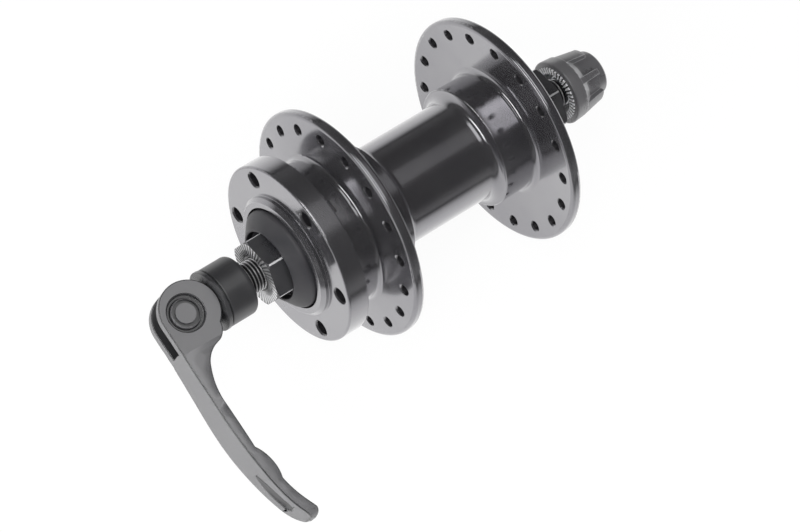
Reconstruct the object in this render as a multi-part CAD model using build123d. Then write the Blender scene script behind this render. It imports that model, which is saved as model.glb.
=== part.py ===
from build123d import *
import math
import os

# Disc brake front hub with its quick-release skewer, in millimetres.
# The origin is the middle of the axle, halfway between the outer faces of the lock nuts.
# +Y runs along the axle to the disc and lever side, +Z is up and +X is forward.
# Angles round the axle are counted from -X (rearward) towards +Z.

# Axle and what is threaded on it
over_locknuts = 100.0
axle_radius = 4.5
axle_bore_radius = 2.6
axle_overhang = 4.2
axle_chamfer = 0.5
axle_thread_pitch = 1.0
axle_thread_depth = 0.55
axle_thread_run = 4.0
axle_thread_crest = 0.05
locknut_width = 6.5
locknut_across_flats = 17.0
locknut_face_radius = 9.0
locknut_chamfer_width = 0.5
locknut_corner_angle = 83.0
washer_width = 2.5
washer_radius = 8.5
cone_radius = 8.5
cone_nose_radius = 5.6
cone_nose_reach = 2.3
cone_flats_across = 15.0
cone_flats_width = 3.5
cone_track_share = 0.75
cone_edge = 0.3

# Bearings, the same on both sides
ball_radius = 2.381
ball_count = 10
ball_circle_radius = 8.5
ball_inset = 9.8
race_clearance = 0.04
cup_radius = 12.5
cup_inner_reach = 4.3
cup_outer_reach = 3.4
cup_mouth_radius = 11.2
cup_throat_radius = 9.2
cup_mouth_step = 0.4
cup_throat_step = 1.3
cage_inner_radius = 6.3
cage_outer_radius = 9.5
cage_thickness = 0.6
cage_offset = 1.65
cage_clearance = 0.05
dust_cap_thickness = 0.8
dust_cap_clearance = 0.4

# Hub shell
shell_bore_radius = 7.0
barrel_radius = 14.6
boss_radius = 17.6
boss_root_radius = 17.4
boss_edge = 0.3
barrel_cove = 2.65
left_boss_width = 9.7
right_boss_width = 9.45
flange_radius = 33.4
flange_width = 3.2
flange_lean_angle = 5.0
flange_rim_round = 1.1
flange_root_fillet = 1.6
left_flange_face = 23.5
right_flange_face = 30.45
spoke_edge_distance = 4.4
spoke_hole_radius = 1.4
spoke_hole_count = 18
spoke_countersink = 0.35
left_spoke_angle = -11.4
rotor_inset = 10.5
rotor_ring_radius = 26.0
rotor_ring_width = 6.5
rotor_ring_chamfer = 0.6
rotor_bolt_circle_radius = 22.0
rotor_hole_radius = 2.1
rotor_hole_depth = 5.8
rotor_hole_count = 6
rotor_hole_countersink = 0.45
rotor_hole_angle = 36.2
neck_radius = 20.5
neck_fillet = 1.2
spigot_radius = 17.5
spigot_land = 1.0
spigot_height = 2.0
spigot_root_fillet = 0.15
right_end_radius = 17.2
right_end_setback = 1.7
seal_bore_clearance = 0.45
shell_edge = 0.6
small_edge = 0.2

# Rubber seal boots on the axle side
boot_radius = 14.35
boot_wall = 1.15
boot_shoulder_round = 1.6
boot_cone_width = 3.3
boot_lip_width = 0.55
boot_lip_clearance = 0.15
boot_lip_setback = 4.5
boot_web = 1.6
boot_skirt_gap = 0.6
boot_corner_relief = 0.1
boot_lip_round = 0.3

# Skewer rod and cross pin
rod_radius = 2.5
rod_tip_chamfer = 0.5
rod_tip_setback = 0.6
pin_radius = 4.05
pin_clearance = 0.05
pin_recess = 0.2
pin_boss_radius = 2.75
pin_groove_width = 0.95
pin_groove_depth = 0.8
pin_edge = 0.3
rod_reach_past_pin = 3.2

# Cam lever, in its own plane: along the arm from the pin, and outward from the pin
lever_head_width = 11.0
lever_head_radius = 8.35
cam_eccentricity = 1.3
cam_to_seat_gap = 0.2
slot_width = 5.2
slot_reach = 7.8
pin_countersink_radius = 5.1
pin_countersink_depth = 1.2
arm_length = 61.6
arm_half_width = 6.6
arm_tip_half_width = 4.7
thumb_recess_length = 13.2
thumb_recess_radius = 2.6
thumb_recess_setback = 17.2
thumb_recess_height = 6.75
thumb_recess_slope = 17.5

# Thrust collar and cam seat
collar_gap = 5.0
collar_radius = 8.45
collar_width = 8.5
collar_round = 2.6
collar_edge = 0.4
collar_recess_radius = 6.6
collar_recess_depth = 5.2
collar_bore_clearance = 0.1
collar_mouth_round = 0.3
collar_least_rim = 0.35
seat_stub_radius = 7.0
seat_stub_depth = 1.2
seat_groove_width = 0.4
seat_groove_radius = 8.0
seat_radius = 8.6
seat_width = 1.25
seat_edge = 0.2
seat_trough_depth = 0.8
seat_trough_radius = 12.0

# Adjusting nut
nut_gap = 3.4
nut_face_proud = 0.45
nut_insert_radius = 7.9
nut_insert_flange = 2.2
nut_insert_body_radius = 6.6
nut_insert_body = 4.4
nut_insert_stem_radius = 4.4
nut_insert_stem = 3.6
nut_recess_radius = 6.0
nut_recess_depth = 5.6
nut_thread_clearance = 0.02
serration_count = 40
serration_depth = 0.45
serration_share = 0.9
serration_overlap = 0.05
locking_ring_width = 2.0
cap_base_radius = 9.5
cap_base_width = 3.75
cap_shoulder_radius = 9.2
cap_shoulder_width = 2.3
cap_body_radius = 7.3
cap_tip_radius = 6.3
cap_length = 13.6
cap_tip_round = 1.0
cap_edge = 0.45
cap_end_hole_radius = 3.0
rib_end_radius = 7.95
rib_reach = 10.7
rib_overlap = 0.2
rib_root_depth = 1.2
rib_pairs = 3
narrow_rib_angle = 77.0
narrow_rib_spread = 12.0
wide_rib_spread = 32.0

# Conical skewer springs, compressed inside the collar and the nut
spring_wire_radius = 0.45
spring_small_radius = 3.6
spring_turns = 3
spring_end_gap = 0.1
spring_wall_gap = 0.35
spring_sample_count = 80
spring_skipped_count = 50

# Places along the axle that follow from the sizes above
locknut_face = over_locknuts / 2
locknut_back = locknut_face - locknut_width
washer_back = locknut_back - washer_width
ball_plane = washer_back - ball_inset
axle_end = locknut_face + axle_overhang
rotor_face = locknut_face - rotor_inset
ring_back = rotor_face - rotor_ring_width
spigot_top = rotor_face + spigot_height
race_radius = ball_radius + race_clearance
seal_bore_radius = boot_radius + seal_bore_clearance
right_end = washer_back - right_end_setback
spoke_circle_radius = flange_radius - spoke_edge_distance
cup_inner_end = ball_plane - cup_inner_reach
cup_outer_end = ball_plane + cup_outer_reach
dust_cap_top = cup_outer_end + dust_cap_thickness
collar_face = locknut_face + collar_gap
collar_top = collar_face + collar_width
seat_top = collar_top + seat_groove_width + seat_width
pin_place = seat_top - seat_trough_depth + cam_to_seat_gap + lever_head_radius + cam_eccentricity
nut_face = locknut_face + nut_gap
cap_face = nut_face + nut_face_proud
cap_end = cap_face + cap_length
insert_stem_start = nut_face + nut_insert_flange + nut_insert_body
insert_stem_end = insert_stem_start + nut_insert_stem
locking_ring_end = insert_stem_end + locking_ring_width
rod_end = cap_end - rod_tip_setback


def turned(*corners):
    """A solid turned about the axle, from the radius, place and rounding of each corner."""
    places = [(radius, along) for radius, along, rounding in corners]
    outline = FilletPolyline(*places, radius=[corner[2] for corner in corners], close=True)
    return revolve(make_face(outline), Axis.Y)


def plain(radius, start, end):
    """A plain round bar along the axle."""
    return turned((0, start, 0), (radius, start, 0), (radius, end, 0), (0, end, 0))


def spread(count, first):
    """Evenly spaced angles round the axle."""
    return [first + turn * 360 / count for turn in range(count)]


def across(radius, angle):
    """The X and Z of a point at an angle round the axle."""
    return -radius * math.cos(math.radians(angle)), radius * math.sin(math.radians(angle))


def at(radius, angle, along):
    """The place of a point given by radius, angle and place along the axle, facing +Y."""
    x, z = across(radius, angle)
    return Pos(x, along, z) * Rot(X=-90)


def other_side(piece):
    """The mirror image of a left-hand piece, on the right-hand side."""
    return mirror(piece, about=Plane.XZ)


def race(along=ball_plane):
    """The ring-shaped space in which the balls run."""
    return Pos(0, along, 0) * Rot(X=-90) * Torus(ball_circle_radius, race_radius)


def axle():
    """Hollow axle with V-shaped thread rings where it shows past each lock nut."""
    groove_start = axle_end - axle_chamfer - axle_thread_run
    crest = [(axle_radius, -groove_start), (axle_radius, groove_start)]
    rings = int(axle_thread_run / axle_thread_pitch)
    for ring in range(rings):
        start = groove_start + ring * axle_thread_pitch
        crest.append((axle_radius - axle_thread_depth, start + axle_thread_pitch / 2))
        crest.append((axle_radius, start + axle_thread_pitch * (1 - axle_thread_crest)))
    crest.append((axle_radius, axle_end - axle_chamfer))
    crest.append((axle_radius - axle_chamfer, axle_end))
    far_half = [(radius, -along) for radius, along in reversed(crest[2:])]
    outline = far_half + crest + [(axle_bore_radius, axle_end), (axle_bore_radius, -axle_end)]
    return turned(*[(radius, along, 0) for radius, along in outline])


def locknut():
    """Left lock nut: a hexagon with its outer corners turned down to a round face."""
    corner_radius = locknut_across_flats / 2 / math.cos(math.pi / 6)
    corners = [across(corner_radius, angle) for angle in spread(6, locknut_corner_angle)]
    hexagon = Plane.XZ.offset(-locknut_back) * make_face(Polyline(*corners, close=True))
    prism = extrude(hexagon, -locknut_width)
    chamfer_start = locknut_face - locknut_chamfer_width
    envelope = turned(
        (axle_radius, locknut_back, 0),
        (corner_radius, locknut_back, 0),
        (corner_radius, chamfer_start, 0),
        (locknut_face_radius, locknut_face, 0),
        (axle_radius, locknut_face, 0),
    )
    return prism & envelope


def washer():
    """Left cone washer between the cone and the lock nut."""
    return turned(
        (axle_radius, washer_back, 0),
        (washer_radius, washer_back, small_edge),
        (washer_radius, locknut_back, small_edge),
        (axle_radius, locknut_back, 0),
    )


def cone():
    """Left cone with its curved ball track and its two spanner flats."""
    nose = ball_plane - cone_nose_reach
    body = turned(
        (axle_radius, nose, 0),
        (cone_nose_radius, nose, 0),
        (cone_radius, ball_plane + race_radius * cone_track_share, 0),
        (cone_radius, washer_back, cone_edge),
        (axle_radius, washer_back, 0),
    )
    body -= race()
    flat_height = cone_radius
    flat_middle = (cone_flats_across + flat_height) / 2
    for way in (-1, 1):
        place = Pos(way * flat_middle, washer_back - cone_flats_width / 2, 0)
        body -= place * Box(flat_height, cone_flats_width, 2 * cone_radius)
    return body


def ball_set():
    """One ring of bearing balls."""
    ball = Sphere(ball_radius)
    angles = spread(ball_count, 0)
    return Part() + [at(ball_circle_radius, angle, ball_plane) * ball for angle in angles]


def ball_cage():
    """Crown-shaped cage that keeps the balls apart."""
    top = ball_plane - cage_offset
    ring = turned(
        (cage_inner_radius, top - cage_thickness, 0),
        (cage_outer_radius, top - cage_thickness, 0),
        (cage_outer_radius, top, 0),
        (cage_inner_radius, top, 0),
    )
    pocket = Sphere(ball_radius + cage_clearance)
    for angle in spread(ball_count, 0):
        ring -= at(ball_circle_radius, angle, ball_plane) * pocket
    return ring


def bearing_cup():
    """Left bearing cup, pressed into the shell."""
    body = turned(
        (cup_throat_radius, cup_inner_end, 0),
        (cup_radius, cup_inner_end, 0),
        (cup_radius, cup_outer_end, 0),
        (cup_mouth_radius, cup_outer_end, 0),
        (cup_mouth_radius, ball_plane + cup_mouth_step, 0),
        (cup_throat_radius, cup_inner_end + cup_throat_step, 0),
    )
    return body - race()


def dust_cap():
    """Left dust cap, pressed into the shell over the bearing."""
    return turned(
        (cone_radius + dust_cap_clearance, cup_outer_end, 0),
        (seal_bore_radius, cup_outer_end, 0),
        (seal_bore_radius, dust_cap_top, 0),
        (cone_radius + dust_cap_clearance, dust_cap_top, 0),
    )


def seal_boot():
    """Left rubber boot: a skirt inside the shell and a cone that closes round the lock nut."""
    corner_radius = locknut_across_flats / 2 / math.cos(math.pi / 6)
    lip_radius = corner_radius + boot_lip_clearance
    lip_top = locknut_face - boot_lip_setback
    shoulder = lip_top - boot_cone_width
    skirt_end = dust_cap_top + boot_skirt_gap
    return turned(
        (washer_radius, washer_back, 0),
        (washer_radius, washer_back + boot_web, 0),
        (lip_radius, locknut_back - boot_corner_relief, 0),
        (lip_radius, lip_top, small_edge),
        (lip_radius + boot_lip_width, lip_top, boot_lip_round),
        (boot_radius, shoulder, boot_shoulder_round),
        (boot_radius, skirt_end, 0),
        (boot_radius - boot_wall, skirt_end, 0),
        (boot_radius - boot_wall, washer_back, 0),
    )


def drilled(body, angles, circle, radius, countersink, start, depth, both_ends):
    """The body with a ring of holes along the axle, each with a countersunk mouth."""
    reach = radius + countersink
    for angle in angles:
        body -= at(circle, angle, start - depth / 2) * Cylinder(radius, depth)
        mouths = [(start, 1)]
        if both_ends:
            mouths.append((start - depth, -1))
        for mouth, way in mouths:
            tool = Cone(radius, reach, countersink) if way > 0 else Cone(reach, radius, countersink)
            body -= at(circle, angle, mouth - way * countersink / 2) * tool
    return body


def lean(radius):
    """How much further out a flange's faces lie at a radius than at its rim."""
    return (flange_radius - radius) * math.tan(math.radians(flange_lean_angle))


def hub_shell():
    """The shell: barrel, two spoke flanges and the disc mount, turned and drilled in one piece."""
    left_back = left_flange_face - flange_width
    right_back = -right_flange_face - flange_width
    right_root = right_back - lean(right_end_radius)
    right_end_fillet = min(flange_root_fillet, right_end + right_root - shell_edge - small_edge)
    left_boss_end = left_back - left_boss_width
    right_boss_end = -right_flange_face + right_boss_width
    seat_end = cup_outer_end
    body = turned(
        (seal_bore_radius, -right_end, 0),
        (right_end_radius, -right_end, shell_edge),
        (right_end_radius, right_root, right_end_fillet),
        (flange_radius, right_back, flange_rim_round),
        (flange_radius, -right_flange_face, flange_rim_round),
        (boss_root_radius, -right_flange_face - lean(boss_root_radius), flange_root_fillet),
        (boss_radius, right_boss_end, boss_edge),
        (barrel_radius, right_boss_end, barrel_cove),
        (barrel_radius, left_boss_end, barrel_cove),
        (boss_radius, left_boss_end, boss_edge),
        (boss_root_radius, left_back + lean(boss_root_radius), flange_root_fillet),
        (flange_radius, left_back, flange_rim_round),
        (flange_radius, left_flange_face, flange_rim_round),
        (neck_radius, left_flange_face + lean(neck_radius), flange_root_fillet),
        (neck_radius, ring_back, neck_fillet),
        (rotor_ring_radius, ring_back, shell_edge),
        (rotor_ring_radius, rotor_face, rotor_ring_chamfer),
        (spigot_radius, rotor_face, spigot_root_fillet),
        (spigot_radius, rotor_face + spigot_land, 0),
        (spigot_radius - (spigot_height - spigot_land), spigot_top, small_edge),
        (seal_bore_radius, spigot_top, small_edge),
        (seal_bore_radius, seat_end, 0),
        (cup_radius, seat_end, 0),
        (cup_radius, cup_inner_end, 0),
        (shell_bore_radius, cup_inner_end, 0),
        (shell_bore_radius, -cup_inner_end, 0),
        (cup_radius, -cup_inner_end, 0),
        (cup_radius, -seat_end, 0),
        (seal_bore_radius, -seat_end, 0),
    )
    half_step = 180 / spoke_hole_count
    out_at_holes = lean(spoke_circle_radius)
    spare = lean(flange_radius - spoke_hole_radius - spoke_countersink)
    flanges = (
        (left_flange_face + out_at_holes, left_spoke_angle),
        (-right_flange_face - out_at_holes, left_spoke_angle + half_step),
    )
    for face, first in flanges:
        body = drilled(
            body,
            spread(spoke_hole_count, first),
            spoke_circle_radius,
            spoke_hole_radius,
            spoke_countersink + spare,
            face + spare,
            flange_width + 2 * spare,
            True,
        )
    angles = spread(rotor_hole_count, rotor_hole_angle)
    return drilled(
        body,
        angles,
        rotor_bolt_circle_radius,
        rotor_hole_radius,
        rotor_hole_countersink,
        rotor_face,
        rotor_hole_depth,
        False,
    )


def skewer_rod():
    """The long rod through the axle, from the cross pin to the adjusting nut."""
    tip = rod_tip_chamfer
    return turned(
        (0, -rod_end, 0),
        (rod_radius - tip, -rod_end, 0),
        (rod_radius, tip - rod_end, 0),
        (rod_radius, pin_place + rod_reach_past_pin, 0),
        (0, pin_place + rod_reach_past_pin, 0),
    )


def cross_pin():
    """Barrel-shaped pin on which the lever turns, drilled across for the rod."""
    half = lever_head_width / 2 - pin_recess
    groove_outer = pin_boss_radius + pin_groove_width
    half_outline = [
        (pin_radius, half - pin_edge),
        (pin_radius - pin_edge, half),
        (groove_outer, half),
        (groove_outer, half - pin_groove_depth),
        (pin_boss_radius, half - pin_groove_depth),
        (pin_boss_radius, half),
        (0, half),
    ]
    outline = half_outline + [(radius, -along) for radius, along in reversed(half_outline)]
    barrel = Rot(X=90) * revolve(make_face(Polyline(*outline, close=True)), Axis.Y)
    return Pos(0, pin_place, 0) * barrel - plain(rod_radius, 0, pin_place + rod_reach_past_pin)


def from_tip(back, across_arm):
    """A point of the lever's outlines, given by its distance back from the arm's tip."""
    return arm_length - back, across_arm


def lever_side_view():
    """The lever's outline seen along the pin: x along the arm, y outward."""
    head_middle = -cam_eccentricity
    head_top = (0, head_middle + lever_head_radius)
    head_back = (-lever_head_radius, head_middle)
    head_leave = math.radians(-39)
    head_foot = (
        lever_head_radius * math.cos(head_leave),
        head_middle + lever_head_radius * math.sin(head_leave),
    )
    shoulder_tip = (10.4, -3.7)
    arm_root = (15.5, 2.6)
    arm_start = (24.0, 4.85)
    grip_start = from_tip(23.2, 4.95)
    grip_end = from_tip(12.9, 3.05)
    tip_inner = from_tip(2.4, -0.8)
    tip_end = from_tip(0, 0.35)
    tip_outer = from_tip(0.6, 1.65)
    inner_grip = [from_tip(21.0, 3.75), from_tip(18.6, 3.0), from_tip(15.8, 2.65)]
    outer_tip = [from_tip(4.2, 3.6), from_tip(8.2, 5.0), from_tip(12.7, 6.05)]
    outer_arm = [from_tip(18.1, 6.9), from_tip(23.6, 7.5), from_tip(31.6, 7.8)]
    outer_head = [(20.0, 7.55), (10.0, 7.2)]
    outer_points = outer_tip + outer_arm + outer_head
    edges = [
        ThreePointArc(head_top, head_back, head_foot),
        ThreePointArc(head_foot, (8.9, -5.65), shoulder_tip),
        ThreePointArc(shoulder_tip, (12.1, 0.1), arm_root),
        ThreePointArc(arm_root, (19.2, 4.05), arm_start),
        Line(arm_start, grip_start),
        Spline(grip_start, *inner_grip, grip_end),
        ThreePointArc(grip_end, from_tip(7.4, 1.55), tip_inner),
        ThreePointArc(tip_inner, from_tip(0.8, -0.75), tip_end),
        Line(tip_end, tip_outer),
        Spline(tip_outer, *outer_points, head_top, tangents=((-0.88, 0.48), (-1, 0))),
    ]
    return make_face(edges)


def lever_front_view():
    """The lever's outline seen from outside: x along the arm, y along the pin."""
    head_half = lever_head_width / 2
    behind = -lever_head_radius - 1
    head_end = (slot_reach + 1.2, head_half)
    swell = [(20.0, 6.05), from_tip(29.6, arm_half_width), from_tip(18.1, 6.2), from_tip(8.1, 5.3)]
    near_tip = from_tip(3.0, arm_tip_half_width)
    tip_side = from_tip(0.5, 2.8)
    tip_middle = from_tip(-0.1, 0)
    edges = [
        Line((behind, -head_half), (behind, head_half)),
        Line((behind, head_half), head_end),
        Spline(head_end, *swell, near_tip, tangents=((1, 0), (0.97, -0.25))),
        ThreePointArc(near_tip, tip_side, tip_middle),
    ]
    edges += [mirror(edge, about=Plane.XZ) for edge in edges[1:]]
    return make_face(edges)


def cam_lever():
    """Quick-release lever, closed: two cheeks round the cross pin and a curved arm."""
    reach = 2 * lever_head_radius
    side_plane = Plane(origin=(0, pin_place, reach), x_dir=(-1, 0, 0), z_dir=(0, 0, -1))
    front_plane = Plane(origin=(0, pin_place - reach, 0), x_dir=(-1, 0, 0), z_dir=(0, 1, 0))
    body = extrude(side_plane * lever_side_view(), 2 * reach)
    body &= extrude(front_plane * lever_front_view(), 2 * reach)
    slot = Box(slot_reach + reach, 2 * reach, slot_width)
    body -= Pos((reach - slot_reach) / 2, pin_place, 0) * slot
    body -= Pos(0, pin_place, 0) * Cylinder(pin_radius + pin_clearance, 2 * reach)
    sink_middle = (lever_head_width - pin_countersink_depth) / 2
    for way in (-1, 1):
        sink = Cylinder(pin_countersink_radius, pin_countersink_depth)
        body -= Pos(0, pin_place, way * sink_middle) * sink
    return body - thumb_recess()


def thumb_recess():
    """The round-bottomed groove that runs out of the arm's outer face, deepest near the tip."""
    along, outward = from_tip(thumb_recess_setback, thumb_recess_height)
    place = Pos(-along, pin_place + outward, 0) * Rot(Z=thumb_recess_slope)
    run = thumb_recess_length - thumb_recess_radius
    groove = Pos(-run / 2, thumb_recess_radius, 0) * Rot(Y=90) * Cylinder(thumb_recess_radius, run)
    groove += Pos(-run, thumb_recess_radius, 0) * Sphere(thumb_recess_radius)
    return place * groove


def thrust_collar():
    """Collar that presses on the fork end, hollow on the hub side for the spring."""
    bore = rod_radius + collar_bore_clearance
    recess_floor = collar_face + collar_recess_depth
    rounding = min(collar_round, collar_radius - collar_recess_radius - collar_least_rim)
    return turned(
        (collar_recess_radius, collar_face, collar_mouth_round),
        (collar_radius, collar_face, rounding),
        (collar_radius, collar_top, collar_edge),
        (seat_stub_radius, collar_top, 0),
        (seat_stub_radius, collar_top - seat_stub_depth, 0),
        (bore, collar_top - seat_stub_depth, 0),
        (bore, recess_floor, 0),
        (collar_recess_radius, recess_floor, 0),
    )


def cam_seat():
    """Stepped ring between collar and lever, with a shallow trough for the cam."""
    bore = rod_radius + collar_bore_clearance
    groove_top = collar_top + seat_groove_width
    body = turned(
        (bore, collar_top - seat_stub_depth, 0),
        (seat_stub_radius, collar_top - seat_stub_depth, 0),
        (seat_stub_radius, collar_top, 0),
        (seat_groove_radius, collar_top, 0),
        (seat_groove_radius, groove_top, 0),
        (seat_radius, groove_top, seat_edge),
        (seat_radius, seat_top, seat_edge),
        (bore, seat_top, 0),
    )
    trough = Cylinder(seat_trough_radius, 4 * seat_radius)
    return body - Pos(0, seat_top - seat_trough_depth + seat_trough_radius, 0) * trough


def nut_insert_envelope():
    """The steel insert of the adjusting nut without its bores and serrations."""
    body_start = nut_face + nut_insert_flange
    return turned(
        (0, -nut_face, 0),
        (nut_insert_radius, -nut_face, 0),
        (nut_insert_radius, -body_start, 0),
        (nut_insert_body_radius, -body_start, 0),
        (nut_insert_body_radius, -insert_stem_start, 0),
        (nut_insert_stem_radius, -insert_stem_start, 0),
        (nut_insert_stem_radius, -insert_stem_end, 0),
        (0, -insert_stem_end, 0),
    )


def nut_insert():
    """Steel insert of the adjusting nut: threaded on the rod, serrated towards the fork."""
    body = nut_insert_envelope()
    body -= plain(rod_radius + nut_thread_clearance, -insert_stem_end, -nut_face)
    body -= plain(nut_recess_radius, -nut_face - nut_recess_depth, -nut_face)
    half_tooth = math.pi * nut_insert_radius / serration_count * serration_share
    tooth_gap = Plane.YZ * make_face(
        Polyline(
            (serration_overlap, -half_tooth),
            (-serration_depth, 0),
            (serration_overlap, half_tooth),
            close=True,
        )
    )
    cutter = Pos(nut_recess_radius / 2, -nut_face, 0) * extrude(tooth_gap, nut_insert_radius)
    return body - [Rot(Y=angle) * cutter for angle in spread(serration_count, 0)]


def locking_ring():
    """Nylon ring that grips the rod's thread behind the insert."""
    return turned(
        (rod_radius + nut_thread_clearance, -locking_ring_end, 0),
        (nut_insert_stem_radius, -locking_ring_end, 0),
        (nut_insert_stem_radius, -insert_stem_end, 0),
        (rod_radius + nut_thread_clearance, -insert_stem_end, 0),
    )


def rib(spread_angle, middle_angle):
    """One lengthwise rib of the nut cap, level with the cap's base ring."""
    shoulder = -cap_face - cap_base_width
    end = -cap_face - rib_reach
    root = cap_tip_radius - rib_root_depth
    outline = Polyline(
        (root, shoulder + rib_overlap),
        (cap_shoulder_radius, shoulder),
        (rib_end_radius, end),
        (root, end),
        close=True,
    )
    wedge = revolve(make_face(outline), Axis.Y, revolution_arc=spread_angle)
    return Rot(Y=180 + middle_angle - spread_angle / 2) * wedge


def nut_cap():
    """Plastic cap round the insert, with narrow and wide grip ribs in turn."""
    shoulder = cap_face + cap_base_width
    body = turned(
        (0, -cap_face, 0),
        (cap_base_radius, -cap_face, cap_edge),
        (cap_shoulder_radius, -shoulder, 0),
        (cap_body_radius, -shoulder - cap_shoulder_width, 0),
        (cap_tip_radius, -cap_end, cap_tip_round),
        (0, -cap_end, 0),
    )
    for angle in spread(rib_pairs, narrow_rib_angle):
        body += rib(narrow_rib_spread, angle)
        body += rib(wide_rib_spread, angle + 180 / rib_pairs)
    body -= nut_insert_envelope()
    body -= plain(nut_insert_stem_radius, -locking_ring_end, -insert_stem_end)
    return body - plain(cap_end_hole_radius, -cap_end, -locking_ring_end)


def conical_spring(start, end, large_radius):
    """A conical spring of round wire, wound from its small end to its large end."""
    quarters = 4 * spring_turns
    places = []
    for quarter in range(quarters + 1):
        share = quarter / quarters
        radius = spring_small_radius + share * (large_radius - spring_small_radius)
        angle = math.radians(90 * quarter)
        along = start + share * (end - start)
        places.append(Vector(radius * math.cos(angle), along, radius * math.sin(angle)))
    climb = (end - start) / quarters
    step = Vector(0, 1, 0)
    headings = []
    for quarter, place in enumerate(places):
        outward = Vector(place.X, 0, place.Z)
        sideways = outward.cross(step)
        growth = outward.normalized() * ((large_radius - spring_small_radius) / quarters)
        headings.append((sideways * (math.pi / 2) + step * climb + growth).normalized())
    arcs = []
    for first, second, leave, arrive in zip(places, places[1:], headings, headings[1:]):
        arcs += biarc(first, second, leave, arrive)
    path = Wire(arcs)
    print("spring", round(least_gap(path), 2), "mm between its turns")
    section = Plane(origin=places[0], z_dir=headings[0]) * Circle(spring_wire_radius)
    return sweep(section, path)


def least_gap(path):
    """The least gap between a spring's turns, from even points along the middle of its wire."""
    last = spring_sample_count * spring_turns
    points = [path @ (number / last) for number in range(last + 1)]
    gaps = []
    for number, point in enumerate(points):
        gaps += [(point - other).length for other in points[number + spring_skipped_count:]]
    return min(gaps) - 2 * spring_wire_radius


def biarc(first, second, leave, arrive):
    """Two arcs from one point and heading to another, meeting without a corner."""
    chord = second - first
    both = leave + arrive
    square = 2 * (1 - leave.dot(arrive))
    reach = chord.dot(both)
    root = math.sqrt(reach * reach + square * chord.dot(chord))
    arm = chord.dot(chord) / (reach + root) if square else chord.dot(chord) / (2 * reach)
    joint = (first + leave * arm + second - arrive * arm) * 0.5
    heading = (second - arrive * arm - first - leave * arm).normalized()
    return [TangentArc(first, joint, tangent=leave), TangentArc(joint, second, tangent=heading)]


def springs():
    """The two compressed skewer springs."""
    near = axle_end + spring_wire_radius + spring_end_gap
    collar_floor = collar_face + collar_recess_depth - spring_wire_radius - spring_end_gap
    nut_floor = nut_face + nut_recess_depth - spring_wire_radius - spring_end_gap
    collar_large = collar_recess_radius - spring_wire_radius - spring_wall_gap
    nut_large = nut_recess_radius - spring_wire_radius - spring_wall_gap
    left = conical_spring(near, collar_floor, collar_large)
    right = other_side(conical_spring(near, nut_floor, nut_large))
    return left, right


def pieces():
    """Every separate piece of the hub by name."""
    made = {
        "hub_shell": hub_shell(),
        "axle": axle(),
        "skewer_rod": skewer_rod(),
        "cross_pin": cross_pin(),
        "cam_lever": cam_lever(),
        "thrust_collar": thrust_collar(),
        "cam_seat": cam_seat(),
        "nut_insert": nut_insert(),
        "locking_ring": locking_ring(),
        "nut_cap": nut_cap(),
    }
    twins = {
        "locknut": locknut(),
        "cone_washer": washer(),
        "cone": cone(),
        "ball_set": ball_set(),
        "ball_cage": ball_cage(),
        "bearing_cup": bearing_cup(),
        "dust_cap": dust_cap(),
        "seal_boot": seal_boot(),
    }
    for name, piece in twins.items():
        made["left_" + name] = piece
        made["right_" + name] = other_side(piece)
    made["left_spring"], made["right_spring"] = springs()
    return made


os.makedirs("parts", exist_ok=True)
for name, piece in pieces().items():
    export_step(piece, f"parts/{name}.step")
    print(name, "volume", round(piece.volume, 1))
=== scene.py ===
import math

import bmesh
import bpy
from mathutils import Matrix, Vector


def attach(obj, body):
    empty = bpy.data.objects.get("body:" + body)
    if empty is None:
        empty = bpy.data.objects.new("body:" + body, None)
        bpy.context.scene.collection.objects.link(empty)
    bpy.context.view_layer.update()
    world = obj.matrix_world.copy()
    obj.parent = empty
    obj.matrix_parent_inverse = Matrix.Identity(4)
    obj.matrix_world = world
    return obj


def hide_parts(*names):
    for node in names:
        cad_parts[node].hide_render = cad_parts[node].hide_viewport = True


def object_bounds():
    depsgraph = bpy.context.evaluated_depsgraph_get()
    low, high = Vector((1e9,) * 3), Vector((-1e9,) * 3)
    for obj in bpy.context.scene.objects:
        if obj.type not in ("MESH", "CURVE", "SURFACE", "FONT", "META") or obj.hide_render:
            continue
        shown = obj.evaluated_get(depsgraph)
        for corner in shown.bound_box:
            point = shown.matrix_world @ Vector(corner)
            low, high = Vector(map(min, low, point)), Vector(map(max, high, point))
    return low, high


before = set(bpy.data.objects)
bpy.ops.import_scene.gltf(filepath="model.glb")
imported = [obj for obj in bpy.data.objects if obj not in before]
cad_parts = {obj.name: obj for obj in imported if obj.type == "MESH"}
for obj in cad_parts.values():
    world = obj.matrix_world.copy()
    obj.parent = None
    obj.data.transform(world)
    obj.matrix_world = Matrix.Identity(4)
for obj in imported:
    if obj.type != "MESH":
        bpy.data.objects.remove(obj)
cad_low, cad_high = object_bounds()

# Sizes are in millimetres unless a comment says otherwise. The axle lies along Y, with the disc
# mount and the lever at +Y, and angles round it run from -X towards +Z.
MM = 0.001

# Camera at the photograph's place: a long lens from above the lever side, rolled to the left
CAMERA_PLACE = Vector((-94.6, 354.2, 728.5)) * MM
CAMERA_TARGET = Vector((-18.0, 14.5, 0.0)) * MM
CAMERA_ROLL = math.radians(44.3)
CAMERA_LENS = 137.5
CAMERA_SENSOR = 36.0

# White floor, in metres. Reflections see it as a pool of light, longer along the axle.
FLOOR_SIZE = 6.0
FLOOR_GREY = 0.9
FLOOR_SHADOW = 0.06
POOL_RADIUS = 0.24
POOL_STRETCH = 4.0
POOL_FALL = 3.0

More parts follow.
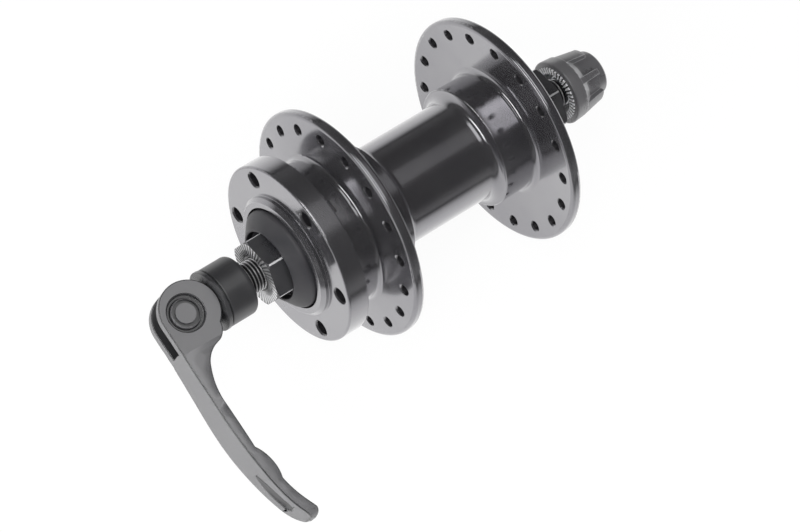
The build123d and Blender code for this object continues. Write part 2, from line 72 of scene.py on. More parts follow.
# The room: its light on matt surfaces, and the darker walls and low glow that reflections see.
# The glow's spans are parts of a unit direction: towards the axle's ends, sideways, or upwards.
ROOM_LIGHT = 0.6
MIRRORED_ROOM = 0.04
GLOW_TO_ENDS = (0.8, 0.95)
GLOW_END_HEIGHT = (0.05, 0.3)
GLOW_END_STRENGTH = 0.8
GLOW_SIDEWAYS = (0.5, 0.85)
GLOW_SIDE_HEIGHT = (0.0, 0.45)
GLOW_SIDE_TURN = (-0.2, 0.2)
GLOW_SIDE_STRENGTHS = (0.2, 0.08)

# A noise's usual span, and a narrower one that makes its patches clearer
CLOUD = (0.3, 0.7)
CLEAR_CLOUD = (0.35, 0.65)
NOISE_ROUGHNESS = 0.55
BLASTED_GRAIN = 7000.0

# Turning marks, per metre outwards or along the axle, and how few they are round it. Nearer to
# the axle's line than MARKS_CORE they fade out.
SHELL_MARKS = 2600.0
STEEL_MARKS = 2200.0
SATIN_MARKS = 1800.0
MARKS_ROUND = 14.0
MARKS_CORE = 0.5

# The shell's holes, whose insides are painted with shade. Each mask is wider than its hole, so that
# it takes in the countersink.
SPOKE_CIRCLE = 29.0
SPOKE_HOLES = 18
SPOKE_MASK = 1.62
LEFT_SPOKE_ANGLE = -11.4
RIGHT_SPOKE_ANGLE = -1.4
BOLT_CIRCLE = 22.0
BOLT_HOLES = 6
BOLT_MASK = 2.4
BOLT_ANGLE = 36.2
DISC_MOUNT_START = 30.0

# The lever's recesses, painted darker than its faces as shade: the sinks and the groove round its
# pin, the slot between its cheeks, and the round-bottomed groove for the thumb
PIN_PLACE = 74.2
PIN_SINK_RADII = (4.15, 5.1)
PIN_GROOVE_RADII = (2.75, 3.7)
SLOT_HALF = 2.65
SLOT_REACH = 7.9
THUMB_START = (-44.4, 80.95)
THUMB_SLOPE = math.radians(17.5)
THUMB_RADIUS = 2.6
THUMB_RUN = 10.6
THUMB_MARGIN = 0.06

# Nut at the far end: its serrated face, where each groove's wall is a span of the half pitch and
# its bottom is painted with shade, and the conical shoulder of its cap, painted with a highlight,
# measured outwards from where it starts
SERRATIONS = 40
SERRATED_FACE = -54.1
SERRATION_WALL = (0.10, 0.26)
CAP_SHOULDER = 57.6
CAP_SHOULDER_SPAN = (0.05, 2.3)
CAP_SHOULDER_RADIUS = 9.3
CAP_SHOULDER_TAPER = 0.8

# Axle, with a screw thread past the lock nuts. THREAD_FLANK and THREAD_ROOT shape the thread from
# a plain zigzag, and the last pair is how far below the crest the painted highlight starts and is
# complete.
AXLE_RADIUS = 4.5
AXLE_BORE = 2.6
AXLE_END = 54.2
AXLE_CHAMFER = 0.5
AXLE_COLUMNS = 48
THREAD_START = 48.5
THREAD_RUNOUT = 0.2
THREAD_PITCH = 1.0
THREAD_DEPTH = 0.55
THREAD_FLANK = 1.25
THREAD_ROOT = 0.1
THREAD_ROWS = 12
CREST_HIGHLIGHT = (0.22, 0.04)

# Lock nuts, chamfered hexagons with fine slanted ridges on their outer faces
NUT_FACE = 50.0
NUT_BACK = 43.5
NUT_BACK_EDGE = 0.2
NUT_APOTHEM = 8.5
NUT_CHAMFER = 0.5
NUT_FACE_RADIUS = 9.0
NUT_FACE_DROP = 0.02
NUT_FACE_EDGE = 0.05
NUT_BORE_GAP = 0.02
NUT_BORE_DEPTH = 0.5
NUT_CORNER_ANGLE = 83.0
NUT_CORNER_ROUND = 0.28
KNURL_RIDGES = 42
NUT_COLUMNS = 2 * KNURL_RIDGES
KNURL_RADII = (8.3, 7.5, 6.7, 5.9, 5.2)
KNURL_END = 5.1
KNURL_DEPTH = 0.13
KNURL_SLANT = math.radians(12)

# An edge bent more than CREASE stays sharp; on a softened CAD node, one bent more than CUT gets
# a round
CREASE = math.radians(28)
CUT = math.radians(35)
WELD_GAP = 0.002


class Nodes:
    """A node tree being wired, for a material or for the world."""

    def __init__(self, tree):
        self.tree = tree
        self.tree.nodes.clear()

    def add(self, kind, **settings):
        node = self.tree.nodes.new(kind)
        for key, value in settings.items():
            setattr(node, key, value)
        return node

    def link(self, source, socket):
        self.tree.links.new(source, socket)

    def feed(self, node, socket, value):
        """Sets a socket to a plain value or links it to another node's output."""
        if isinstance(value, (int, float, tuple)):
            node.inputs[socket].default_value = value
        else:
            self.link(value, node.inputs[socket])

    def maths(self, operation, *values):
        node = self.add("ShaderNodeMath", operation=operation)
        for socket, value in enumerate(values):
            self.feed(node, socket, value)
        return node.outputs[0]

    def product(self, result, *factors):
        """All values multiplied, which for masks is 1 where every mask is."""
        for factor in factors:
            result = self.maths("MULTIPLY", result, factor)
        return result

    def length(self, *parts):
        """The length of a vector from its two or three parts."""
        first, *others = (self.product(part, part) for part in parts)
        for square in others:
            first = self.maths("ADD", first, square)
        return self.maths("SQRT", first)

    def within(self, value, low, high):
        """1 where a distance is between two limits in millimetres, 0 elsewhere."""
        past_low = self.maths("GREATER_THAN", value, low * MM)
        return self.product(past_low, self.maths("LESS_THAN", value, high * MM))

    def remap(self, value, span, onto=(0.0, 1.0)):
        """A value whose span is eased onto another span."""
        node = self.add("ShaderNodeMapRange", interpolation_type="SMOOTHSTEP")
        self.feed(node, "Value", value)
        for socket, number in zip(("From Min", "From Max", "To Min", "To Max"), (*span, *onto)):
            node.inputs[socket].default_value = number
        return node.outputs["Result"]

    def split(self, vector):
        """The x, y and z of a vector."""
        node = self.add("ShaderNodeSeparateXYZ")
        self.link(vector, node.inputs[0])
        return node.outputs

    def mix(self, share, first, second):
        """Two shaders mixed by a share of the second."""
        node = self.add("ShaderNodeMixShader")
        self.feed(node, 0, share)
        self.link(first, node.inputs[1])
        self.link(second, node.inputs[2])
        return node.outputs[0]


class Wiring(Nodes):
    """A node material: a Principled shader and the nodes that feed it."""

    def __init__(self, name):
        self.material = bpy.data.materials.new(name)
        self.material.use_nodes = True
        super().__init__(self.material.node_tree)
        self.output = self.add("ShaderNodeOutputMaterial")
        self.shader = self.add("ShaderNodeBsdfPrincipled")
        self.link(self.shader.outputs[0], self.output.inputs["Surface"])
        self.place = self.add("ShaderNodeTexCoord").outputs["Object"]

    def noise(self, scale, detail):
        node = self.add("ShaderNodeTexNoise")
        self.link(self.place, node.inputs["Vector"])
        node.inputs["Scale"].default_value = scale
        node.inputs["Detail"].default_value = detail
        node.inputs["Roughness"].default_value = NOISE_ROUGHNESS
        return node.outputs["Fac"]

    def turning(self, marks):
        """Fine marks that run round the axle, on faces and on cylinders alike."""
        x, y, z = self.split(self.place)
        radius = self.length(x, z)
        safe = self.maths("MAXIMUM", radius, MARKS_CORE * MM)
        joined = self.add("ShaderNodeCombineXYZ")
        self.link(self.product(radius, marks), joined.inputs[0])
        for socket, part in enumerate((x, z), start=1):
            way = self.maths("DIVIDE", part, safe)
            self.link(self.product(way, MARKS_ROUND), joined.inputs[socket])
        node = self.add("ShaderNodeTexNoise", noise_dimensions="4D")
        self.link(joined.outputs[0], node.inputs["Vector"])
        self.link(self.product(y, marks), node.inputs["W"])
        node.inputs["Scale"].default_value = 1.0
        node.inputs["Detail"].default_value = 2.0
        return node.outputs["Fac"]

    def blend(self, share, first, second):
        """Two colours mixed by a share of the second: sockets 6 and 7 of the node take colours."""
        node = self.add("ShaderNodeMix", data_type="RGBA")
        self.feed(node, "Factor", share)
        for socket, colour in ((6, first), (7, second)):
            self.feed(node, socket, (*colour, 1.0) if isinstance(colour, tuple) else colour)
        return node.outputs[2]

    def uneven(self, cloud, span, second, share):
        """A roughness that drifts over a span with a noise, plus a share of a second value."""
        return self.maths("ADD", self.remap(cloud, CLOUD, span), self.product(second, share))

    def bump(self, height, depth, strength, under=None):
        node = self.add("ShaderNodeBump")
        self.link(height, node.inputs["Height"])
        node.inputs["Distance"].default_value = depth * MM
        node.inputs["Strength"].default_value = strength
        if under is not None:
            self.link(under, node.inputs["Normal"])
        return node.outputs["Normal"]

    def finish(self, ior=1.5, **inputs):
        """Feeds the shader's inputs, named in lower case, and returns the material."""
        inputs["ior"] = ior
        for key, value in inputs.items():
            socket = key.replace("_", " ").title().replace("Ior", "IOR")
            self.feed(self.shader, socket, value)
        return self.material


def hole_mask(w, circle, count, first, radius):
    """1 inside a ring of drilled holes along the axle, 0 outside, from the place alone."""
    x, _, z = w.split(w.place)
    turn = w.maths("ARCTAN2", z, w.product(x, -1.0))
    step = 2 * math.pi / count
    shifted = w.maths("SUBTRACT", turn, math.radians(first) - step / 2)
    nearest = w.maths("SUBTRACT", w.maths("FLOORED_MODULO", shifted, step), step / 2)
    out = w.length(x, z)
    across = w.product(out, w.maths("SINE", nearest))
    beyond = w.maths("SUBTRACT", w.product(out, w.maths("COSINE", nearest)), circle * MM)
    return w.maths("LESS_THAN", w.length(across, beyond), radius * MM)


def all_holes(w):
    """1 inside the spoke holes of either flange and the disc bolt holes."""
    y = w.split(w.place)[1]
    right = w.maths("LESS_THAN", y, 0.0)
    disc = w.maths("GREATER_THAN", y, DISC_MOUNT_START * MM)
    left = w.maths("SUBTRACT", w.maths("SUBTRACT", 1.0, right), disc)
    left_spokes = hole_mask(w, SPOKE_CIRCLE, SPOKE_HOLES, LEFT_SPOKE_ANGLE, SPOKE_MASK)
    right_spokes = hole_mask(w, SPOKE_CIRCLE, SPOKE_HOLES, RIGHT_SPOKE_ANGLE, SPOKE_MASK)
    bolts = hole_mask(w, BOLT_CIRCLE, BOLT_HOLES, BOLT_ANGLE, BOLT_MASK)
    spokes = w.maths("MAXIMUM", w.product(left_spokes, left), w.product(right_spokes, right))
    return w.maths("MAXIMUM", spokes, w.product(bolts, disc))


def gloss_black():
    """Polished black anodising of the shell: a dark mirror, but dull inside its holes, where shade
    is painted in.
    """
    w = Wiring("gloss_black_anodised")
    holes = all_holes(w)
    cloud = w.noise(scale=60.0, detail=4.0)
    grain = w.noise(scale=5200.0, detail=2.0)
    # The third colour is near-black painted shade for the insides of the holes
    dark, light, hole_shade = (0.235, 0.230, 0.250), (0.262, 0.258, 0.274), (0.085, 0.082, 0.090)
    hole_roughness = 0.6
    colour = w.blend(w.remap(cloud, CLEAR_CLOUD), dark, light)
    rough = w.uneven(cloud, (0.15, 0.19), grain, share=0.02)
    wave = w.bump(w.noise(scale=300.0, detail=1.0), depth=0.01, strength=0.2)
    return w.finish(
        metallic=0.92,
        coat_weight=1.0,
        coat_ior=1.77,
        coat_roughness=0.13,
        base_color=w.blend(holes, colour, hole_shade),
        roughness=w.maths("MAXIMUM", rough, w.product(holes, hole_roughness)),
        normal=w.bump(w.turning(SHELL_MARKS), depth=0.002, strength=0.2, under=wave),
    )


def thumb_groove(w, x, y, z):
    """1 on the wall of the round-bottomed groove near the lever's tip, 0 elsewhere."""
    lean, rise = math.sin(THUMB_SLOPE), math.cos(THUMB_SLOPE)
    middle_x = THUMB_START[0] - THUMB_RADIUS * lean
    middle_y = THUMB_START[1] + THUMB_RADIUS * rise
    along = w.maths("SUBTRACT", x, middle_x * MM)
    out = w.maths("SUBTRACT", y, middle_y * MM)
    down = w.maths("ADD", w.product(along, -rise), w.product(out, -lean))
    side = w.maths("ADD", w.product(along, -lean), w.product(out, rise))
    past = w.maths("MAXIMUM", w.maths("SUBTRACT", down, THUMB_RUN * MM), 0.0)
    away = w.length(side, past, z)
    near = w.maths("LESS_THAN", away, (THUMB_RADIUS + THUMB_MARGIN) * MM)
    return w.product(near, w.maths("GREATER_THAN", down, 0.0))


def lever_recesses(w):
    """1 in the lever's slot, pin sinks, pin groove and thumb groove, 0 elsewhere."""
    x, y, z = w.split(w.place)
    away = w.length(x, w.maths("SUBTRACT", y, PIN_PLACE * MM))
    inner, outer = PIN_GROOVE_RADII
    groove = w.maths("COMPARE", away, (inner + outer) / 2 * MM, (outer - inner) / 2 * MM)
    between = w.maths("LESS_THAN", w.maths("ABSOLUTE", z), SLOT_HALF * MM)
    slot = w.product(between, w.maths("GREATER_THAN", x, -SLOT_REACH * MM))
    head = w.maths("MAXIMUM", w.maths("MAXIMUM", groove, w.within(away, *PIN_SINK_RADII)), slot)
    return w.maths("MAXIMUM", head, thumb_groove(w, x, y, z))


def satin_lever():
    """Bead-blasted and anodised lever: a fine grain, with shade painted into its recesses."""
    w = Wiring("satin_lever")
    cloud = w.noise(scale=90.0, detail=4.0)
    grain = w.noise(scale=BLASTED_GRAIN, detail=2.0)
    # The third colour is near-black painted shade for the slot, the sinks and the grooves
    dark, light, recess_shade = (0.083, 0.082, 0.087), (0.100, 0.099, 0.104), (0.016, 0.016, 0.018)
    colour = w.blend(w.remap(cloud, CLOUD), dark, light)
    return w.finish(
        ior=2.3,
        base_color=w.blend(lever_recesses(w), colour, recess_shade),
        roughness=w.uneven(cloud, (0.36, 0.42), grain, share=0.05),
        normal=w.bump(grain, depth=0.01, strength=0.3),
    )


def satin_black(name, dark, light, rough, ior, marks=None):
    """Bead-blasted metal or smooth dark plastic: a fine grain, with turning marks if asked."""
    w = Wiring(name)
    cloud = w.noise(scale=90.0, detail=4.0)
    grain = w.noise(scale=BLASTED_GRAIN, detail=2.0)
    normal = w.bump(grain, depth=0.01, strength=0.35)
    if marks:
        normal = w.bump(w.turning(marks), depth=0.012, strength=0.35, under=normal)
    return w.finish(
        ior=ior,
        base_color=w.blend(w.remap(cloud, CLOUD), dark, light),
        roughness=w.uneven(cloud, rough, grain, share=0.04),
        normal=normal,
    )


def steel(name, fresh, stained, rough, metallic=1.0):
    """Machined steel with fine turning marks and slight cloudy staining."""
    w = Wiring(name)
    cloud = w.noise(scale=220.0, detail=5.0)
    lines = w.turning(STEEL_MARKS)
    return w.finish(
        metallic=metallic,
        base_color=w.blend(w.remap(cloud, CLEAR_CLOUD), fresh, stained),
        roughness=w.uneven(cloud, rough, lines, share=0.08),
        normal=w.bump(lines, depth=0.01, strength=0.4),
    )


def serrated_steel():
    """Bright zinc-plated insert whose serrated face has shade painted along the bottom of its
    grooves.
    """
    w = Wiring("serrated_zinc_steel")
    x, y, z = w.split(w.place)
    turn = w.maths("DIVIDE", w.maths("ARCTAN2", z, x), 2 * math.pi / SERRATIONS)
    # The bottoms of the face's grooves are painted dark as shade
    groove = w.remap(w.maths("PINGPONG", turn, 0.5), SERRATION_WALL, (1.0, 0.0))
    face = w.maths("GREATER_THAN", y, SERRATED_FACE * MM)
    cloud = w.noise(scale=900.0, detail=4.0)
    bright, dull, dark = (0.97, 0.97, 0.98), (0.78, 0.78, 0.80), (0.030, 0.029, 0.031)
    colour = w.blend(w.remap(cloud, CLEAR_CLOUD), bright, dull)
    return w.finish(
        metallic=0.25,
        base_color=w.blend(w.product(groove, face), colour, dark),
        roughness=w.remap(cloud, CLOUD, (0.24, 0.36)),
        normal=w.bump(cloud, depth=0.01, strength=0.4),
    )


def cap_plastic():
    """Moulded plastic of the nut cap, with a highlight painted on its conical shoulder between the
    ribs.
    """
    w = Wiring("moulded_cap")
    x, y, z = w.split(w.place)
    past = w.maths("SUBTRACT", w.product(y, -1.0), CAP_SHOULDER * MM)
    spread = w.maths("ADD", w.length(x, z), w.product(past, CAP_SHOULDER_TAPER))
    under_ribs = w.maths("LESS_THAN", spread, CAP_SHOULDER_RADIUS * MM)
    # The shoulder between the ribs is painted with a light colour as a highlight
    shoulder_highlight = w.product(w.within(past, *CAP_SHOULDER_SPAN), under_ribs)
    cloud = w.noise(scale=90.0, detail=4.0)
    grain = w.noise(scale=4200.0, detail=2.0)
    dark, light, painted_highlight = (0.094, 0.092, 0.098), (0.116, 0.114, 0.120), (0.30, 0.30, 0.31)
    colour = w.blend(w.remap(cloud, CLOUD), dark, light)
    return w.finish(
        ior=2.2,
        base_color=w.blend(shoulder_highlight, colour, painted_highlight),
        roughness=w.uneven(cloud, (0.24, 0.32), grain, share=0.04),
        normal=w.bump(grain, depth=0.01, strength=0.35),
    )


def threaded_steel():
    """The axle's steel: a highlight painted on the thread crests, and shade painted in the dark
    grooves.
    """
    w = Wiring("threaded_axle_steel")
    x, _, z = w.split(w.place)
    # The crests are painted light as a highlight, and the grooves dark as shade
    crest = w.remap(w.length(x, z), [(AXLE_RADIUS - wear) * MM for wear in CREST_HIGHLIGHT])
    cloud = w.noise(scale=400.0, detail=4.0)
    groove, silvery = (0.050, 0.049, 0.052), (0.66, 0.66, 0.67)
    return w.finish(
        metallic=0.75,
        base_color=w.blend(crest, groove, silvery),
        roughness=w.uneven(cloud, (0.24, 0.36), crest, share=0.05),
        normal=w.bump(cloud, depth=0.01, strength=0.4),
    )


def rubber():
    """Moulded seal rubber: dull, with a very fine pitted grain."""
    w = Wiring("seal_rubber")
    cloud = w.noise(scale=150.0, detail=4.0)
    pits = w.noise(scale=5000.0, detail=3.0)
    dark, light = (0.017, 0.017, 0.020), (0.027, 0.026, 0.029)
    return w.finish(
        ior=1.52,
        base_color=w.blend(w.remap(cloud, CLOUD), dark, light),
        roughness=w.remap(cloud, CLOUD, (0.42, 0.55)),
        normal=w.bump(pits, depth=0.02, strength=0.4),
    )


def nylon():
    """Plain white nylon of the locking ring."""
    w = Wiring("white_nylon")
    cloud = w.noise(scale=300.0, detail=3.0)
    dull, white = (0.72, 0.72, 0.69), (0.82, 0.82, 0.79)
    return w.finish(
        base_color=w.blend(cloud, dull, white),
        roughness=w.remap(cloud, CLOUD, (0.45, 0.55)),
        normal=w.bump(cloud, depth=0.02, strength=0.3),
    )


def add_object(name, data):
    obj = bpy.data.objects.new(name, data)
    bpy.context.scene.collection.objects.link(obj)
    return obj


def turned_mesh(name, rings, materials, bands):
    """A closed turned piece: rings of points in millimetres, the last one joined to the first."""
    count = len(rings[0])
    points = [Vector(point) * MM for ring in rings for point in ring]
    faces = []
    for row in range(len(rings)):
        near, far = row * count, (row + 1) % len(rings) * count
        for column in range(count):
            beside = (column + 1) % count
            faces.append((near + column, near + beside, far + beside, far + column))
    mesh = bpy.data.meshes.new(name)
    mesh.from_pydata(points, [], faces)
    for material in materials:
        mesh.materials.append(material)
    for number, face in enumerate(mesh.polygons):
        face.material_index = bands[number // count]
        face.use_smooth = True
    work = bmesh.new()
    work.from_mesh(mesh)
    bmesh.ops.recalc_face_normals(work, faces=work.faces)
    work.to_mesh(mesh)
    work.free()
    mesh.set_sharp_from_angle(angle=CREASE)
    return add_object(name, mesh)


def polar(radius, angle, along):
    """A point from its radius, its angle in degrees and its place along the axle."""
    turn = math.radians(angle)
    return (-radius * math.cos(turn), along, radius * math.sin(turn))


def nut_rings(way):
    """A lock nut's rings: from its bore over its back, its flats and its chamfer, then inwards
    over the slanted ridges of its face."""
    turns = [360 / NUT_COLUMNS * column for column in range(NUT_COLUMNS)]
    flats = [NUT_APOTHEM / math.cos(math.radians(turn % 60 - 30)) for turn in turns]
    corner = NUT_APOTHEM / math.cos(math.radians(30))
    chamfer_slope = (NUT_FACE_RADIUS - corner) / NUT_CHAMFER
    chamfer = [NUT_FACE - NUT_CHAMFER + (r - corner) / chamfer_slope for r in flats]

    def ring(radii, places, twist=0.0):
        """A ring from each column's radius and place, or from one that all columns share."""
        radii = radii if isinstance(radii, list) else [radii] * NUT_COLUMNS
        places = places if isinstance(places, list) else [places] * NUT_COLUMNS
        angles = [NUT_CORNER_ANGLE + turn + twist for turn in turns]
        return [polar(r, angle, way * y) for r, angle, y in zip(radii, angles, places)]

    def slant(radius):
        return math.degrees(math.tan(KNURL_SLANT) * math.log(NUT_FACE_RADIUS / radius))

    bore = AXLE_RADIUS + NUT_BORE_GAP
    rings = [
        ring(bore, NUT_BACK),
        ring([r - NUT_BACK_EDGE for r in flats], NUT_BACK),
        ring(flats, NUT_BACK + NUT_BACK_EDGE),
        ring(flats, [min(NUT_FACE - NUT_FACE_EDGE, y) for y in chamfer]),
        ring([min(r - NUT_FACE_EDGE, NUT_FACE_RADIUS) for r in flats], NUT_FACE - NUT_FACE_DROP),
    ]
    ridges = [NUT_FACE - KNURL_DEPTH * (column % 2) for column in range(NUT_COLUMNS)]
    rings += [ring(radius, ridges, slant(radius)) for radius in KNURL_RADII]
    grooves, twist = NUT_FACE - KNURL_DEPTH, slant(KNURL_RADII[-1])
    rings += [ring(KNURL_END, grooves, twist), ring(bore, grooves - NUT_BORE_DEPTH, twist)]
    return rings


def round_corners(piece, material):
    """Rounds a lock nut's six upright corners, between its rings 1 and 3."""
    per_flat = NUT_COLUMNS // 6
    weights = piece.data.attributes.new("bevel_weight_edge", "FLOAT", "EDGE")
    for edge, weight in zip(piece.data.edges, weights.data):
        ends = (divmod(point, NUT_COLUMNS) for point in sorted(edge.vertices))
        (near, first), (far, second) = ends
        if first == second and first % per_flat == 0 and 1 <= near and far <= 3:
            weight.value = 1.0
    bevel = piece.modifiers.new("corner_round", "BEVEL")
    bevel.limit_method = "WEIGHT"
    bevel.width = NUT_CORNER_ROUND * MM
    bevel.segments = 3
    bevel.material = material


def locknut(side, materials, way):
    """Lock nut with a highlight painted on its rounded corners, and a face whose ridges have one
    pale flank and one flank painted dark as shade.
    """
    body, silvery, painted_highlight = range(3)
    name = side + "_locknut"
    bands = [body] * 4 + [silvery] * (len(KNURL_RADII) + 1) + [body] * 2
    piece = turned_mesh(name + "_knurled", nut_rings(way), materials, bands)
    # Every second facet of the ridged face takes the black body as painted shade
    for number, face in enumerate(piece.data.polygons):
        if face.material_index == silvery and number % 2:
            face.material_index = body
    # The rounded corners take a lighter steel as a painted highlight
    round_corners(piece, painted_highlight)
    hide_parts(name)
    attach(piece, "axle_assembly")


def axle(material):
    """Hollow axle with a real screw thread where it shows past the lock nuts."""
    angles = [360 / AXLE_COLUMNS * column for column in range(AXLE_COLUMNS)]

    def ring(along, threaded):
        points = []
        limit = AXLE_RADIUS - AXLE_CHAMFER + AXLE_END - abs(along)
        for column, angle in enumerate(angles):
            phase = (along / THREAD_PITCH + column / AXLE_COLUMNS) % 1
            crest = min(1.0, max(0.0, THREAD_FLANK * abs(2 * phase - 1) - THREAD_ROOT))
            depth = THREAD_DEPTH * (1 - crest) if threaded else 0.0
            points.append(polar(min(AXLE_RADIUS - depth, limit), angle, along))
        return points

    run = AXLE_END - THREAD_START
    rows = int(run / THREAD_PITCH * THREAD_ROWS)
    places = [THREAD_START + run * row / rows for row in range(rows + 1)]
    rings = [ring(-along, True) for along in reversed(places)]
    rings += [ring(way * (THREAD_START - THREAD_RUNOUT), False) for way in (-1, 1)]
    rings += [ring(along, True) for along in places]
    rings += [[polar(AXLE_BORE, angle, way * AXLE_END) for angle in angles] for way in (1, -1)]
    piece = turned_mesh("axle_threaded", rings, [material], [0] * len(rings))
    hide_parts("axle")
    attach(piece, "axle_assembly")


def soften(node, edge, width):
    """Rounds a CAD node's cut edges, which catch a thin line of light on the real piece."""
    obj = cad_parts[node]
    obj.data.materials.append(edge)
    weld = obj.modifiers.new("weld", "WELD")
    weld.merge_threshold = WELD_GAP * MM
    bevel = obj.modifiers.new("edge_round", "BEVEL")
    bevel.width = width * MM
    bevel.segments = 2
    bevel.limit_method = "ANGLE"
    bevel.angle_limit = CUT
    bevel.use_clamp_overlap = False
    bevel.harden_normals = True
    bevel.material = len(obj.data.materials) - 1


def give(obj, material):
    """Puts one material on a whole piece."""
    obj.data.materials.clear()
    obj.data.materials.append(material)


def dress_nodes():
    """Gives every CAD node its finish, and the lock nuts and the axle their finer forms."""
    lever = satin_lever()
    axle_steel = threaded_steel()
    seal_rubber = rubber()
    black = satin_black(
        "black_oxide_steel",
        dark=(0.024, 0.024, 0.027),
        light=(0.036, 0.036, 0.038),
        rough=(0.24, 0.32),
        ior=1.9,
        marks=SATIN_MARKS,
    )
    bright = steel(
        "bright_zinc_steel",
        fresh=(0.70, 0.71, 0.72),
        stained=(0.60, 0.61, 0.63),
        rough=(0.18, 0.28),
    )
    ground = steel(
        "ground_bearing_steel",
        fresh=(0.76, 0.76, 0.77),
        stained=(0.70, 0.70, 0.72),
        rough=(0.08, 0.14),
    )
    finishes = {
        "hub_shell": gloss_black(),
        "axle": axle_steel,
        "skewer_rod": bright,
        "cross_pin": lever,
        "cam_lever": lever,
        "thrust_collar": satin_black(
            "satin_collar",
            dark=(0.022, 0.022, 0.024),
            light=(0.032, 0.032, 0.034),
            rough=(0.30, 0.36),
            ior=1.8,
            marks=SATIN_MARKS,
        ),
        "cam_seat": satin_black(
            "smooth_seat",
            dark=(0.030, 0.030, 0.032),
            light=(0.038, 0.038, 0.040),
            rough=(0.20, 0.26),
            ior=1.7,
            marks=SATIN_MARKS,
        ),
        "nut_insert": serrated_steel(),
        "locking_ring": nylon(),
        "nut_cap": cap_plastic(),
        "left_spring": bright,
        "right_spring": bright,
    }
    for side in ("left", "right"):
        finishes[side + "_locknut"] = black
        finishes[side + "_cone_washer"] = black
        finishes[side + "_cone"] = ground
        finishes[side + "_ball_set"] = ground
        finishes[side + "_ball_cage"] = bright
        finishes[side + "_bearing_cup"] = ground
        finishes[side + "_dust_cap"] = bright
        finishes[side + "_seal_boot"] = seal_rubber
    for node, material in finishes.items():
        give(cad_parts[node], material)

    knurl = steel(
        "bare_knurled_steel",
        fresh=(0.70, 0.70, 0.71),
        stained=(0.58, 0.58, 0.59),
        rough=(0.22, 0.32),
        metallic=0.8,
    )
    # A lighter steel for the lock nuts' rounded corners, a painted highlight
    corner_highlight = steel(
        "highlight_steel_edge",
        fresh=(0.48, 0.48, 0.49),
        stained=(0.38, 0.38, 0.39),
        rough=(0.40, 0.50),
        metallic=0.5,
    )
    locknut("left", [black, knurl, corner_highlight], way=1)
    locknut("right", [black, knurl, corner_highlight], way=-1)
    axle(axle_steel)

    cut_edge = satin_black(
        "bright_cut_edge",
        dark=(0.030, 0.030, 0.032),
        light=(0.040, 0.040, 0.042),
        rough=(0.12, 0.16),
        ior=2.0,
    )
    # A light colour on the cap's rounded edges, a painted highlight
    cap_edge_highlight = satin_black(
        "highlight_cap_edge",
        dark=(0.26, 0.26, 0.27),
        light=(0.34, 0.34, 0.35),
        rough=(0.26, 0.34),
        ior=2.0,
    )
    soften("cam_lever", cut_edge, width=0.3)
    soften("nut_cap", cap_edge_highlight, width=0.12)


def pool_of_light(w):
    """The floor's brightness in reflections: white round the hub, fading sideways first."""
    squeezed = w.add("ShaderNodeVectorMath", operation="MULTIPLY")
    w.link(w.place, squeezed.inputs[0])
    squeezed.inputs[1].default_value = (1.0, 1.0 / POOL_STRETCH, 1.0)
    distance = w.add("ShaderNodeVectorMath", operation="LENGTH")
    w.link(squeezed.outputs[0], distance.inputs[0])
    radii = w.maths("DIVIDE", distance.outputs["Value"], POOL_RADIUS)
    return w.maths("DIVIDE", 1.0, w.maths("ADD", w.maths("POWER", radii, POOL_FALL), 1.0))


def make_floor():
    """Floor under the hub: white with a faint shadow to the camera, a pool of light in mirrors."""
    half = FLOOR_SIZE / 2
    low = cad_low.z
    mesh = bpy.data.meshes.new("floor")
    corners = [(-half, -half, low), (half, -half, low), (half, half, low), (-half, half, low)]
    mesh.from_pydata(corners, [], [(0, 1, 2, 3)])
    floor = add_object("floor", mesh)
    w = Wiring("pale_floor")
    w.finish(base_color=(FLOOR_GREY, FLOOR_GREY, FLOOR_GREY, 1.0), roughness=0.9)
    path = w.add("ShaderNodeLightPath")
    white = w.add("ShaderNodeEmission")
    seen = w.mix(FLOOR_SHADOW, white.outputs[0], w.shader.outputs[0])
    mirrored = w.add("ShaderNodeEmission")
    w.link(pool_of_light(w), mirrored.inputs["Strength"])
    glossy = w.maths("MAXIMUM", path.outputs["Is Glossy Ray"], path.outputs["Is Transmission Ray"])
    others = w.mix(glossy, w.shader.outputs[0], mirrored.outputs[0])
    w.link(w.mix(path.outputs["Is Camera Ray"], others, seen), w.output.inputs["Surface"])
    give(floor, w.material)


def horizon_glow(w):
    """Bright paper that curves up round the hub, most of all beyond the axle's ends."""
    x, y, z = w.split(w.add("ShaderNodeTexCoord").outputs["Generated"])
    ahead = w.remap(w.maths("ABSOLUTE", y), GLOW_TO_ENDS, (0.0, GLOW_END_STRENGTH))
    ends = w.product(ahead, w.remap(z, GLOW_END_HEIGHT, (1.0, 0.0)))
    sideways = w.remap(w.maths("ABSOLUTE", x), GLOW_SIDEWAYS)
    strength = w.remap(x, GLOW_SIDE_TURN, GLOW_SIDE_STRENGTHS)
    sides = w.product(strength, sideways, w.remap(z, GLOW_SIDE_HEIGHT, (1.0, 0.0)))
    return w.maths("ADD", ends, sides)


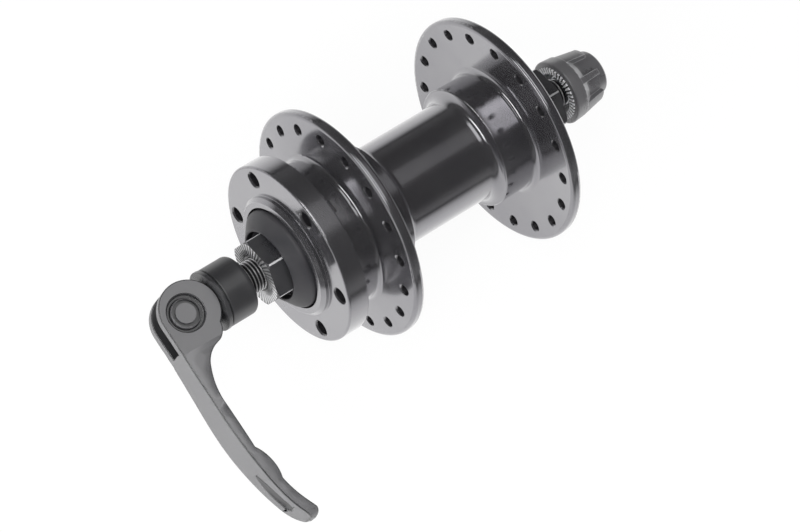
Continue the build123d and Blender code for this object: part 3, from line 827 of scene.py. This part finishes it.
def make_world():
    """Even room light; reflections see a darker room with a glow along the floor."""
    world = bpy.data.worlds.new("studio")
    bpy.context.scene.world = world
    world.use_nodes = True
    w = Nodes(world.node_tree)
    path = w.add("ShaderNodeLightPath")
    strengths = (ROOM_LIGHT, w.maths("ADD", horizon_glow(w), MIRRORED_ROOM), 1.0)
    backgrounds = []
    for strength in strengths:
        background = w.add("ShaderNodeBackground")
        background.inputs["Color"].default_value = (1.0, 1.0, 1.0, 1.0)
        w.feed(background, "Strength", strength)
        backgrounds.append(background.outputs[0])
    plain, mirrored, white = backgrounds
    unseen = w.mix(path.outputs["Is Glossy Ray"], plain, mirrored)
    output = w.add("ShaderNodeOutputWorld")
    w.link(w.mix(path.outputs["Is Camera Ray"], unseen, white), output.inputs["Surface"])


def aim(place, target, roll=0.0):
    """A matrix at place that looks at target."""
    turn = (target - place).to_track_quat("-Z", "Y").to_matrix().to_4x4()
    return Matrix.Translation(place) @ turn @ Matrix.Rotation(roll, 4, "Z")


def softbox(name, place, size, watts, mirrored, level=False):
    """An area lamp, in metres, aimed at the axle or hung level, for reflections or for the rest."""
    light = bpy.data.lights.new(name, "AREA")
    light.shape = "RECTANGLE"
    light.size, light.size_y = size
    light.energy = watts
    obj = add_object(name, light)
    place = Vector(place)
    abreast = Vector((place.x, 0.0, 0.0))
    obj.matrix_world = Matrix.Translation(place) if level else aim(place, abreast)
    obj.visible_glossy = mirrored
    obj.visible_diffuse = not mirrored


def make_lights():
    """Softboxes that draw the light lines on the shell, and fills for the matt pieces."""
    softbox("softbox_front", (0.66, 2.07, 2.17), (2.6, 0.46), watts=20.5, mirrored=True)
    softbox("softbox_over", (0.7, -0.33, 3.0), (2.6, 1.5), watts=16.9, mirrored=True, level=True)
    softbox("softbox_faint", (0.65, -1.49, 3.0), (1.9, 0.34), watts=0.42, mirrored=True, level=True)
    softbox("fill_front", (-0.15, 1.05, 0.45), (0.8, 0.8), watts=13.5, mirrored=False)
    softbox("fill_over", (0.0, 0.6, 1.2), (0.5, 0.5), watts=5.5, mirrored=False)
    softbox("fill_side", (-0.9, -0.1, 0.8), (0.8, 0.8), watts=5.0, mirrored=False)


def make_camera():
    camera = bpy.data.cameras.new("photo_camera")
    camera.lens = CAMERA_LENS
    camera.sensor_width = CAMERA_SENSOR
    camera.clip_start = 0.01
    camera.clip_end = 50.0
    obj = add_object("photo_camera", camera)
    obj.matrix_world = aim(CAMERA_PLACE, CAMERA_TARGET, CAMERA_ROLL)
    bpy.context.scene.camera = obj


make_camera()
make_world()
make_lights()
make_floor()
dress_nodes()
bpy.context.scene.view_settings.view_transform = "Standard"
